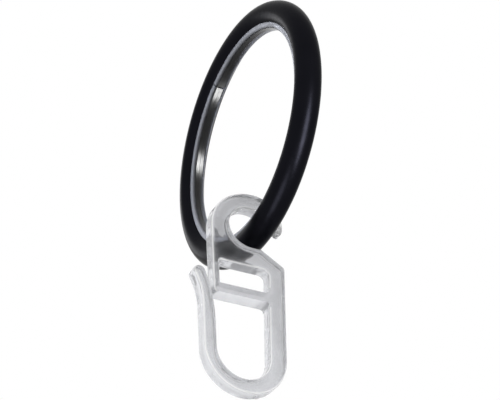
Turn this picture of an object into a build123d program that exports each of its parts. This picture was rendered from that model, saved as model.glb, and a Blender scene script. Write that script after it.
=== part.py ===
from build123d import *
import math
import os

os.makedirs("parts", exist_ok=True)

# Ring: a tube rolled from coated sheet, bent to a hoop, with a slot along its inner side
hoop_d = 38.0
tube_d = 3.9
tube_wall = 0.5
slot_w = 0.8
slot_lip_round = 0.15

# Glide liner: a bent strip held in the slot, with a flange that the pole runs on
liner_fit = 0.04
liner_flange_w = 2.1
liner_proud = 0.6
liner_flange_round = 0.5
liner_head_depth = 0.75
liner_split = 0.2
liner_split_angle = 116.5

# Pleat hook: one clear moulding, measured from the centre of the tube it hangs on
hook_t = 2.2
edge_round = 0.4

# Eye of the hook, an open loop round the tube
eye_r = 7.1
eye_top = 7.15
eye_free_r = 4.6
eye_hole_r = 3.35
eye_hole_offset = 0.75
eye_tip_height = 1.3
eye_leg_w = 1.15
eye_tip_round = 0.5
eye_tip_w = 0.5
eye_tip_t = 1.0
eye_lead_h = 1.4
eye_taper_h = 2.3
saddle_play = 0.3
saddle_end = 0.85
saddle_round = 0.6

# Shoulder and the small frame under the eye
shoulder_angle = 32.5
shoulder_round = 0.7
upright_w = 2.65
upright_lean = 2.6
side_w = 1.05
window_top = 5.6
window_h = 3.95
window_round = 0.9
window_small_round = 0.3
bar_h = 1.5
bar_end_round = 0.6
bar_root_round = 0.5
root_over = 0.1

# Bend and the sprung arm that holds the curtain tape
bend_r = 4.05
bend_centre_v = -19.8
bend_bottom_w = 2.15
arm_w = 1.95
arm_inset = 0.165
arm_tip_r = 0.9
arm_tip_gap = 1.15
arm_tip_height = -8.2
arm_flare_in = -16.0
arm_flare_out = -13.2

# Largest share of a wall that the rounding of its two corners may take
round_share = 0.45

# Share by which the lead-in cut at the tip runs past both of its ends
lead_share = 0.25

# Sizes that follow from the ones above
hoop_r = hoop_d / 2
tube_r = tube_d / 2
bore_r = hoop_r - tube_r - liner_proud
neck_w = slot_w - 2 * liner_fit
head_r = tube_r - tube_wall - liner_fit
head_top = tube_r - tube_wall - liner_head_depth
split_turn = math.degrees(liner_split / bore_r)

# Ring shell: the slotted tube section turned about the pole axis
with BuildPart() as ring_shell:
    with BuildSketch(Plane.XY) as shell_section:
        with Locations((hoop_r, 0)):
            Circle(tube_r)
            Circle(tube_r - tube_wall, mode=Mode.SUBTRACT)
        with Locations((hoop_r - tube_r, 0)):
            Rectangle(tube_r, slot_w, mode=Mode.SUBTRACT)
        fillet(shell_section.vertices().sort_by(Axis.X)[:4], slot_lip_round)
    revolve(axis=Axis.Y)
ring_shell.part.label = "ring_shell"
export_step(ring_shell.part, "parts/ring_shell.step")

# Glide liner: head inside the tube, neck through the slot, flange on the bore side
split_plane = Plane.XY.rotated((0, -liner_split_angle, 0))
with BuildPart() as glide_liner:
    with BuildSketch(split_plane) as liner_section:
        with Locations((bore_r, 0)):
            Rectangle(tube_r, liner_flange_w, align=(Align.MIN, Align.CENTER))
        fillet(liner_section.vertices().sort_by(Axis.X)[:2], liner_flange_round)
        with Locations((hoop_r, 0)):
            Circle(tube_r + liner_fit, mode=Mode.SUBTRACT)
            Circle(head_r)
        with Locations((hoop_r - head_top, 0)):
            Rectangle(tube_d, tube_d, align=(Align.MIN, Align.CENTER), mode=Mode.SUBTRACT)
            Rectangle(tube_r + liner_proud / 2 - head_top, neck_w, align=(Align.MAX, Align.CENTER))
    revolve(axis=Axis.Y, revolution_arc=360 - split_turn)
glide_liner.part.label = "glide_liner"
export_step(glide_liner.part, "parts/glide_liner.step")

# The hook outline is set out from the tube centre: u runs along the pole and v upward
lean = math.radians(upright_lean)
slope = math.tan(math.radians(shoulder_angle))
saddle_v = -tube_r - saddle_play
bar_top = -window_top - window_h
bar_bottom = bar_top - bar_h

# Bend: the arm starts just inside the line of the side strip, and the upright closes the bend
arm_in = arm_inset - eye_r
arm_out = arm_in - arm_w
bend_u = arm_in + bend_r
bend_out_r = (arm_w + 2 * bend_r + upright_w) / 2
bend_out_u = arm_out + bend_out_r
bend_out_v = bend_centre_v - bend_r - bend_bottom_w + bend_out_r
heel_in = (bend_u + bend_r * math.cos(lean), bend_centre_v - bend_r * math.sin(lean))
heel_out = (
    bend_out_u + bend_out_r * math.cos(lean),
    bend_out_v - bend_out_r * math.sin(lean),
)


def upright_in_at(height):
    """Inner face of the leaning upright at a given height."""
    return heel_in[0] + (height - heel_in[1]) * math.tan(lean)


# Crossbar: reaches from the side strip into the upright, with a rounded root above and below
bar_start = side_w / 2 - eye_r
bar_hold = upright_w / 2
bar_root_low = (upright_in_at(bar_bottom), bar_bottom)
bar_root_high = (upright_in_at(bar_top), bar_top)
root_low = bar_bottom - bar_root_round - root_over
root_high = bar_top + window_round + root_over

# Shoulder: runs down from the saddle until it meets the outer face of the upright
foot_u = heel_out[0] - heel_out[1] * math.tan(lean)
shoulder_rise = saddle_v + slope * saddle_end
upright_out = (foot_u + shoulder_rise * math.tan(lean)) / (1 + slope * math.tan(lean))
corner_v = saddle_v - slope * (upright_out - saddle_end)

# Arm: both faces bend outward on arcs that run smoothly into the round tip
arm_tip_out = eye_r + arm_tip_gap + arm_tip_r
in_a = arm_in + arm_tip_out
in_b = arm_tip_height - arm_flare_in
flare_in_r = (in_a**2 + in_b**2 - arm_tip_r**2) / (2 * (in_a - arm_tip_r))
flare_in_turn = math.degrees(math.atan2(in_b, flare_in_r - in_a))
out_a = arm_out + arm_tip_out
out_b = arm_tip_height - arm_flare_out
flare_out_r = (out_a**2 + out_b**2 - arm_tip_r**2) / (2 * (out_a + arm_tip_r))
flare_out_turn = math.degrees(math.atan2(out_b, flare_out_r - out_a))

# Eye: the outside follows two arcs, the inside narrows the loop toward its free tip
eye_left_v = eye_top - eye_r
free_v = eye_top - eye_free_r
free_turn = math.asin((free_v - eye_tip_height) / eye_free_r)
hole_v = saddle_v + eye_hole_r
tip_out = eye_free_r * math.cos(free_turn)
mouth_a = tip_out - eye_leg_w + eye_hole_offset
mouth_b = hole_v + eye_hole_r - eye_tip_height
mouth_r = (mouth_a**2 + mouth_b**2) / (2 * mouth_b)
mouth_v = hole_v + eye_hole_r - mouth_r
mouth_turn = math.asin((mouth_v - eye_tip_height) / mouth_r)
tip_round = min(eye_tip_round, eye_leg_w * round_share)
lead_v = eye_tip_height + eye_lead_h
lead_u = math.sqrt(mouth_r**2 - (lead_v - mouth_v) ** 2) - eye_hole_offset
lead_start = Vector(lead_u, lead_v)
lead_end = Vector(tip_out - eye_tip_w, eye_tip_height)
lead_over = (lead_end - lead_start) * lead_share
tip_slope = (hook_t - eye_tip_t) / 2 / eye_taper_h
free_turn_deg = math.degrees(free_turn)
mouth_turn_deg = math.degrees(mouth_turn)

# Pleat hook: the outline with its window cut out, given its thickness and rounded edges
tube_plane = Plane(origin=(0, 0, -hoop_r), x_dir=(0, 1, 0), z_dir=(1, 0, 0))
tip_plane = Plane(origin=(0, eye_hole_r / 2 + eye_free_r, -hoop_r), x_dir=(1, 0, 0), z_dir=(0, -1, 0))
with BuildPart() as pleat_hook:
    with BuildSketch(tube_plane) as hook_outline:
        with BuildLine():
            free_arc = CenterArc((0, free_v), eye_free_r, -free_turn_deg, 90 + free_turn_deg)
            eye_arc = CenterArc((0, eye_left_v), eye_r, 90, 90)
            side_line = Line(eye_arc @ 1, (-eye_r, bar_bottom))
            strip_end = Line(side_line @ 1, (side_w - eye_r, bar_bottom))
            strip_line = Line(strip_end @ 1, (side_w - eye_r, -window_top))
            web_line = Line(strip_line @ 1, (upright_in_at(-window_top), -window_top))
            Line(web_line @ 1, heel_in)
            CenterArc((bend_u, bend_centre_v), bend_r, -upright_lean, upright_lean - 180)
            Line((arm_in, bend_centre_v), (arm_in, arm_flare_in))
            CenterArc((arm_in - flare_in_r, arm_flare_in), flare_in_r, 0, flare_in_turn)
            CenterArc(
                (-arm_tip_out, arm_tip_height),
                arm_tip_r,
                flare_in_turn,
                180 + flare_out_turn - flare_in_turn,
            )
            CenterArc((arm_out - flare_out_r, arm_flare_out), flare_out_r, flare_out_turn, -flare_out_turn)
            Line((arm_out, arm_flare_out), (arm_out, bend_out_v))
            CenterArc((bend_out_u, bend_out_v), bend_out_r, 180, 180 - upright_lean)
            upright_line = Line(heel_out, (upright_out, corner_v))
            shoulder_line = Line(upright_line @ 1, (saddle_end, saddle_v))
            Line(shoulder_line @ 1, (-eye_hole_offset, saddle_v))
            CenterArc((-eye_hole_offset, hole_v), eye_hole_r, 270, -180)
            mouth_arc = CenterArc((-eye_hole_offset, mouth_v), mouth_r, 90, -90 - mouth_turn_deg)
            Line(mouth_arc @ 1, free_arc @ 0)
        make_face()
        fillet(hook_outline.vertices().sort_by_distance(free_arc @ 0)[:1], tip_round)
        fillet(hook_outline.vertices().sort_by_distance(mouth_arc @ 1)[:1], tip_round)
        fillet(hook_outline.vertices().sort_by_distance(side_line @ 1)[:1], bar_end_round)
        fillet(hook_outline.vertices().sort_by_distance(strip_line @ 1)[:1], window_small_round)
        fillet(hook_outline.vertices().sort_by_distance(web_line @ 1)[:1], window_round)
        fillet(hook_outline.vertices().sort_by_distance(upright_line @ 1)[:1], shoulder_round)
        fillet(hook_outline.vertices().sort_by_distance(shoulder_line @ 1)[:1], saddle_round)
    extrude(hook_outline.sketch, amount=hook_t / 2, both=True)
    flat_faces = pleat_hook.faces().filter_by(Axis.X)
    fillet(flat_faces.edges(), min(edge_round, tip_round * 2 * round_share))
    with BuildSketch(tube_plane) as crossbar:
        with BuildLine():
            Polyline(
                (bar_start, bar_bottom),
                bar_root_low,
                (upright_in_at(root_low), root_low),
                (upright_in_at(root_low) + bar_hold, root_low),
                (upright_in_at(root_high) + bar_hold, root_high),
                (upright_in_at(root_high), root_high),
                bar_root_high,
                (bar_start, bar_top),
                close=True,
            )
        make_face()
        fillet(crossbar.vertices().sort_by_distance(bar_root_low)[:1], bar_root_round)
        fillet(crossbar.vertices().sort_by_distance(bar_root_high)[:1], window_round)
    extrude(crossbar.sketch, amount=hook_t / 2, both=True)
    with BuildSketch(tube_plane) as lead_in:
        with BuildLine():
            Polyline((0, 0), lead_start - lead_over, lead_end + lead_over, close=True)
        make_face()
    extrude(lead_in.sketch, amount=hook_t, both=True, mode=Mode.SUBTRACT)
    with BuildSketch(tip_plane) as tip_taper:
        with BuildLine():
            Polyline(
                (eye_tip_t / 2 - tip_slope * eye_tip_height, 0),
                (hook_t / 2 + tip_slope * eye_taper_h, eye_tip_height + 2 * eye_taper_h),
                (hook_t / 2 + tip_slope * eye_taper_h, 0),
                close=True,
            )
        make_face()
        mirror(about=Plane.YZ)
    extrude(tip_taper.sketch, amount=eye_free_r, mode=Mode.SUBTRACT)
pleat_hook.part.label = "pleat_hook"
export_step(pleat_hook.part, "parts/pleat_hook.step")
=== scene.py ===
import math

import bpy
from mathutils import Matrix, Vector


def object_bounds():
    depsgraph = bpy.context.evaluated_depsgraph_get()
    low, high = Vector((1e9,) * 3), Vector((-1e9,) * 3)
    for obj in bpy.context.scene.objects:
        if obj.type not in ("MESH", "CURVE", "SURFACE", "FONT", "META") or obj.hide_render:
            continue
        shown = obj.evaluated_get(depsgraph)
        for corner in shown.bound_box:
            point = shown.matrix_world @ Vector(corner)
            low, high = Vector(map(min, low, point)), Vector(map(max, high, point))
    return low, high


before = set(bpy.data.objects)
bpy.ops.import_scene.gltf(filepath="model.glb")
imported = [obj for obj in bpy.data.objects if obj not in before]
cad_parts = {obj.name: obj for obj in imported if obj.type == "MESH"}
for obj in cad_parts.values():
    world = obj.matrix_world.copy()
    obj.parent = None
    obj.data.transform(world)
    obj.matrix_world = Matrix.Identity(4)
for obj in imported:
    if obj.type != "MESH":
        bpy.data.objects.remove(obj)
cad_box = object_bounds()

# Lengths are in metres, angles in degrees and the width of the camera's sensor in millimetres

# Camera: where the photograph was taken from, as seen from the middle of the ring
VIEW_AZIMUTH = 60.53
VIEW_ELEVATION = -35.08
VIEW_ROLL = -3.47
VIEW_DISTANCE = 0.230
VIEW_AIM = (-0.00499, 0.00279, -0.00814)
FOCAL_PIXELS = 1517.7
IMAGE_WIDTH = 500
SENSOR_WIDTH = 36.0
NEAREST_SEEN = 0.01
FARTHEST_SEEN = 20.0

# Studio: a pale floor well below the hanging part and an even white surround
FLOOR_DROP = 0.30
FLOOR_SIZE = 6.0
FLOOR_COLOUR = (0.90, 0.90, 0.90, 1.0)
FLOOR_ROUGHNESS = 0.9
SURROUND_COLOUR = (1.0, 1.0, 1.0, 1.0)
SURROUND_STRENGTH = 1.0

# Soft lamps: the node that shows each, azimuth, elevation, distance, width and height, brightness
LAMPS = {
    "back_lamp": ("ring_shell", -76.0, 30.0, 0.60, (0.22, 0.22), 3.0),
    "side_lamp": ("ring_shell", 94.0, -28.0, 0.38, (0.18, 0.34), 14.0),
    "low_lamp": ("ring_shell", 14.0, -60.0, 0.30, (0.18, 0.16), 4.5),
    "small_side_lamp": ("glide_liner", 114.0, 4.0, 0.40, (0.06, 0.13), 70.0),
    "small_low_lamp": ("glide_liner", 151.0, -65.0, 0.30, (0.05, 0.08), 70.0),
}

# Light is followed through many reflections, because it is caught inside the clear plastic
ALL_BOUNCES = 32
SURFACE_BOUNCES = 24

# Black coat: two tones, the grey of its grazing edges, its roughness, and its patches and grain
COAT_DARK = (0.0062, 0.0063, 0.0086, 1.0)
COAT_LIGHT = (0.0084, 0.0085, 0.0114, 1.0)
COAT_EDGE = (0.57, 0.57, 0.57, 1.0)
COAT_ROUGHNESS = (0.26, 0.37)
COAT_PATCH = 0.004
COAT_GRAIN = 0.0006
COAT_RELIEF = 0.000012

# Liner: tones of its body and of its rim, a painted highlight, how clear each is, where the painted rim
# highlight starts, and its drawn lines
LINER_INDEX = 1.34
LINER_BODY = (0.060, 0.064, 0.080, 1.0)
LINER_RIM_PAINTED_HIGHLIGHT = (0.700, 0.730, 0.830, 1.0)
LINER_CLEAR = (0.98, 0.68)
LINER_ROUGHNESS = (0.16, 0.26)
RIM_START = 0.00060
RIM_FULL = 0.00100
LINER_GRAIN = 0.0008
LINER_LINE = 0.00025
LINER_RELIEF = 0.000016

# Hook: tones of its flat faces from the eye down to the bend, painted shade greyer toward the eye, and
# painted light on their borders, walls and round edges
HOOK_INDEX = 1.47
HOOK_PAINTED_SHADE_AT_EYE = (0.385, 0.389, 0.404, 1.0)
HOOK_AT_BEND = (0.600, 0.606, 0.630, 1.0)
HOOK_BORDER_PAINTED_LIGHT = (0.720, 0.727, 0.754, 1.0)
HOOK_WALL_PAINTED_LIGHT = (0.915, 0.922, 0.950, 1.0)
HOOK_EDGE_PAINTED_HIGHLIGHT = (0.970, 0.970, 0.970, 1.0)
EYE_HEIGHT = -0.013
BEND_HEIGHT = -0.045

# Hook: its clouds, which change the tone and how clear it is, and its fine grain and waves
HOOK_CLOUD = 0.0035
CLOUD_DETAIL = 3.0
CLOUD_LIMITS = (0.3, 0.7)
CLOUD_TONE = (0.86, 1.26)
CLOUD_CLEAR = (0.95, 0.85)
HOOK_GRAIN = 0.001
HOOK_ROUGHNESS = (0.01, 0.06)
HOOK_WAVE = 0.002
HOOK_RELIEF = 0.00006

# Hook borders, walls and edges, which carry painted light: how squarely their surface looks along X,
# and how clear they are
BORDER_REACH = 0.0020
BORDER_FULL = 0.900
BORDER_END = 0.988
BORDER_CLEAR = 0.78
WALL_FULL = 0.70
WALL_END = 0.97
EDGE_START = 0.30
EDGE_FULL = 0.55
EDGE_CLEAR = 0.45

# Thin leg at the mouth of the eye, painted as pale as the painted edge highlight: where it starts along
# Y and along Z
LEG_START = 0.0022
LEG_FULL = 0.0034
LEG_FOOT = -0.0225
LEG_TOP = -0.0205


def back_direction(azimuth, elevation):
    """Unit vector from the part toward a viewer or lamp at these angles, in degrees."""
    turn = math.radians(azimuth)
    rise = math.radians(elevation)
    reach = math.cos(rise)
    return Vector((math.sin(turn) * reach, -math.cos(turn) * reach, math.sin(rise)))


def add_camera():
    data = bpy.data.cameras.new("camera")
    data.sensor_width = SENSOR_WIDTH
    data.lens = FOCAL_PIXELS * SENSOR_WIDTH / IMAGE_WIDTH
    data.clip_start = NEAREST_SEEN
    data.clip_end = FARTHEST_SEEN
    camera = bpy.data.objects.new("camera", data)
    back = back_direction(VIEW_AZIMUTH, VIEW_ELEVATION)
    turn = math.radians(VIEW_AZIMUTH)
    level = Vector((math.cos(turn), math.sin(turn), 0.0))
    right = Matrix.Rotation(math.radians(VIEW_ROLL), 3, back) @ level
    up = back.cross(right)
    rotation = Matrix((right, up, back)).transposed()
    place = Matrix.Translation(Vector(VIEW_AIM) + back * VIEW_DISTANCE)
    camera.matrix_world = place @ rotation.to_4x4()
    bpy.context.scene.collection.objects.link(camera)
    bpy.context.scene.camera = camera


def add_lamp(name, node, azimuth, elevation, distance, size, brightness):
    """Oval lamp that shows only in the gloss of one node; the surround alone lights matt surfaces."""
    data = bpy.data.lights.new(name, "AREA")
    data.shape = "ELLIPSE"
    data.size, data.size_y = size
    area = math.pi / 4.0 * size[0] * size[1]
    data.energy = brightness * math.pi * area
    lamp = bpy.data.objects.new(name, data)
    lamp.visible_camera = False
    lamp.visible_diffuse = False
    receivers = bpy.data.collections.new(name + "_receivers")
    receivers.objects.link(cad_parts[node])
    lamp.light_linking.receiver_collection = receivers
    direction = back_direction(azimuth, elevation)
    lamp.location = direction * distance
    lamp.rotation_mode = "QUATERNION"
    lamp.rotation_quaternion = direction.to_track_quat("Z", "Y")
    bpy.context.scene.collection.objects.link(lamp)


def add_world():
    world = bpy.data.worlds.new("surround")
    bpy.context.scene.world = world
    world.use_nodes = True
    background = world.node_tree.nodes["Background"]
    background.inputs["Color"].default_value = SURROUND_COLOUR
    background.inputs["Strength"].default_value = SURROUND_STRENGTH


def add_floor():
    height = cad_box[0].z - FLOOR_DROP
    bpy.ops.mesh.primitive_plane_add(size=FLOOR_SIZE, location=(0.0, 0.0, height))
    floor = bpy.context.object
    floor.name = "floor"
    material = bpy.data.materials.new("pale_floor")
    material.use_nodes = True
    shader = material.node_tree.nodes["Principled BSDF"]
    shader.inputs["Base Color"].default_value = FLOOR_COLOUR
    shader.inputs["Roughness"].default_value = FLOOR_ROUGHNESS
    floor.data.materials.append(material)


def dress(node, material):
    """Give a node one material all over."""
    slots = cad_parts[node].data.materials
    slots.clear()
    slots.append(material)


class Surface:
    """A principled material with helpers for the fine detail of its surface."""

    def __init__(self, name):
        self.material = bpy.data.materials.new(name)
        self.material.use_nodes = True
        self.nodes = self.material.node_tree.nodes
        self.links = self.material.node_tree.links
        self.shader = self.nodes["Principled BSDF"]
        self.place = self.nodes.new("ShaderNodeTexCoord").outputs["Object"]

    def put(self, **values):
        """Set shader values that are the same all over."""
        for name, value in values.items():
            self.shader.inputs[name.replace("_", " ")].default_value = value

    def feed(self, name, value):
        """Let a shader value follow the detail."""
        self.links.new(value, self.shader.inputs[name])

    def part_of(self, vector, axis):
        """The share of a vector that lies along one axis."""
        node = self.nodes.new("ShaderNodeSeparateXYZ")
        self.links.new(vector, node.inputs["Vector"])
        return node.outputs[axis]

    def along(self, axis):
        """Distance from the middle of the ring along one axis, in metres."""
        return self.part_of(self.place, axis)

    def facing(self, axis, reach):
        """How squarely the surface looks along one axis, from 1 down, eased within reach of an edge."""
        node = self.nodes.new("ShaderNodeBevel")
        node.inputs["Radius"].default_value = reach
        return self.size_of(self.part_of(node.outputs["Normal"], axis))

    def noise(self, size, detail=2.0):
        """Smooth noise whose patches are about this many metres across."""
        node = self.nodes.new("ShaderNodeTexNoise")
        node.inputs["Scale"].default_value = 1.0 / size
        node.inputs["Detail"].default_value = detail
        self.links.new(self.place, node.inputs["Vector"])
        return node.outputs["Fac"]

    def lines(self, value, size):
        """Noise that changes with one value alone, which draws lines about this far apart."""
        node = self.nodes.new("ShaderNodeTexNoise")
        node.noise_dimensions = "1D"
        node.inputs["Scale"].default_value = 1.0 / size
        self.links.new(value, node.inputs["W"])
        return node.outputs["Fac"]

    def spread(self, value, low, high, start=0.0, end=1.0):
        """Stretch a value from one range to another."""
        node = self.nodes.new("ShaderNodeMapRange")
        node.inputs["From Min"].default_value = start
        node.inputs["From Max"].default_value = end
        node.inputs["To Min"].default_value = low
        node.inputs["To Max"].default_value = high
        self.links.new(value, node.inputs["Value"])
        return node.outputs["Result"]

    def size_of(self, value):
        """A value without its sign."""
        node = self.nodes.new("ShaderNodeMath")
        node.operation = "ABSOLUTE"
        self.links.new(value, node.inputs[0])
        return node.outputs["Value"]

    def times(self, first, second):
        """The product of two values."""
        node = self.nodes.new("ShaderNodeMath")
        node.operation = "MULTIPLY"
        self.links.new(first, node.inputs[0])
        self.links.new(second, node.inputs[1])
        return node.outputs["Value"]

    def blend(self, share, first, second):
        """Colour that goes from the first to the second as the share goes from 0 to 1."""
        node = self.nodes.new("ShaderNodeMix")
        node.data_type = "RGBA"
        for socket, colour in (("A", first), ("B", second)):
            if isinstance(colour, tuple):
                node.inputs[socket].default_value = colour
            else:
                self.links.new(colour, node.inputs[socket])
        self.links.new(share, node.inputs["Factor"])
        return node.outputs["Result"]

    def scaled(self, colour, factor):
        """A colour made paler or darker by a factor."""
        node = self.nodes.new("ShaderNodeVectorMath")
        node.operation = "SCALE"
        self.links.new(colour, node.inputs["Vector"])
        self.links.new(factor, node.inputs["Scale"])
        return node.outputs["Vector"]

    def bump(self, height, painted_shade_fade):
        """Give the surface a relief of this depth, in metres."""
        node = self.nodes.new("ShaderNodeBump")
        node.inputs["Strength"].default_value = 1.0
        node.inputs["Distance"].default_value = painted_shade_fade
        self.links.new(height, node.inputs["Height"])
        self.links.new(node.outputs["Normal"], self.shader.inputs["Normal"])


def satin_black():
    """Black coat on metal: dull in the middle of the tube, with a soft sheen from the lamps."""
    coat = Surface("satin_black_coat")
    coat.put(Metallic=1.0, Specular_Tint=COAT_EDGE)
    grain = coat.noise(COAT_GRAIN)
    coat.feed("Base Color", coat.blend(coat.noise(COAT_PATCH), COAT_DARK, COAT_LIGHT))
    coat.feed("Roughness", coat.spread(grain, *COAT_ROUGHNESS))
    coat.bump(grain, COAT_RELIEF)
    return coat.material


def clear_liner():
    """Clear drawn strip: fine lines along it, and a paler rim, a painted highlight, on both sides of
    its flange.
    """
    plastic = Surface("clear_liner")
    plastic.put(IOR=LINER_INDEX)
    across = plastic.along("Y")
    # The paler, less clear rim on both sides of the flange is a painted highlight
    painted_rim_highlight = plastic.spread(plastic.size_of(across), 0.0, 1.0, RIM_START, RIM_FULL)
    plastic.feed("Base Color", plastic.blend(painted_rim_highlight, LINER_BODY, LINER_RIM_PAINTED_HIGHLIGHT))
    plastic.feed("Transmission Weight", plastic.spread(painted_rim_highlight, *LINER_CLEAR))
    plastic.feed("Roughness", plastic.spread(plastic.noise(LINER_GRAIN), *LINER_ROUGHNESS))
    plastic.bump(plastic.lines(across, LINER_LINE), LINER_RELIEF)
    return plastic.material


def clear_hook():
    """Clear moulding with faint clouds, painted shade greyer toward the eye, and painted light: pale
    hazy borders and walls, and bright edges.
    """
    plastic = Surface("clear_hook")
    plastic.put(IOR=HOOK_INDEX)
    # Painted shade: the flat faces grow greyer from the bend up to the eye
    painted_shade_fade = plastic.spread(plastic.along("Z"), 0.0, 1.0, EYE_HEIGHT, BEND_HEIGHT)
    cloud = plastic.spread(plastic.noise(HOOK_CLOUD, CLOUD_DETAIL), 0.0, 1.0, *CLOUD_LIMITS)
    # Painted light: the borders of the flat faces are paler and less clear
    painted_border_light = plastic.spread(plastic.facing("X", BORDER_REACH), 1.0, 0.0, BORDER_FULL, BORDER_END)
    square = plastic.facing("X", 0.0)
    # Painted light: the side walls are paler and less clear than the faces
    painted_wall_light = plastic.spread(square, 1.0, 0.0, WALL_FULL, WALL_END)
    # Painted highlight: a white line along the round edges between faces and walls
    painted_edge_highlight = plastic.times(painted_wall_light, plastic.spread(square, 0.0, 1.0, EDGE_START, EDGE_FULL))
    beside = plastic.spread(plastic.along("Y"), 0.0, 1.0, LEG_START, LEG_FULL)
    above = plastic.spread(plastic.along("Z"), 0.0, 1.0, LEG_FOOT, LEG_TOP)
    tone = plastic.blend(painted_shade_fade, HOOK_PAINTED_SHADE_AT_EYE, HOOK_AT_BEND)
    tone = plastic.scaled(tone, plastic.spread(cloud, *CLOUD_TONE))
    tone = plastic.blend(painted_border_light, tone, HOOK_BORDER_PAINTED_LIGHT)
    tone = plastic.blend(painted_wall_light, tone, HOOK_WALL_PAINTED_LIGHT)
    tone = plastic.blend(painted_edge_highlight, tone, HOOK_EDGE_PAINTED_HIGHLIGHT)
    # Painted highlight: the thin leg at the mouth of the eye takes the pale edge tone
    plastic.feed("Base Color", plastic.blend(plastic.times(beside, above), tone, HOOK_EDGE_PAINTED_HIGHLIGHT))
    clear = plastic.spread(cloud, *CLOUD_CLEAR)
    clear = plastic.times(clear, plastic.spread(painted_border_light, 1.0, BORDER_CLEAR))
    clear = plastic.times(clear, plastic.spread(painted_edge_highlight, 1.0, EDGE_CLEAR))
    plastic.feed("Transmission Weight", clear)
    plastic.feed("Roughness", plastic.spread(plastic.noise(HOOK_GRAIN), *HOOK_ROUGHNESS))
    plastic.bump(plastic.noise(HOOK_WAVE), HOOK_RELIEF)
    return plastic.material


dress("ring_shell", satin_black())
dress("glide_liner", clear_liner())
dress("pleat_hook", clear_hook())

add_camera()
add_world()
add_floor()
for lamp_name, placing in LAMPS.items():
    add_lamp(lamp_name, *placing)

scene = bpy.context.scene
scene.view_settings.view_transform = "Standard"
scene.cycles.max_bounces = ALL_BOUNCES
scene.cycles.glossy_bounces = SURFACE_BOUNCES
scene.cycles.transmission_bounces = SURFACE_BOUNCES
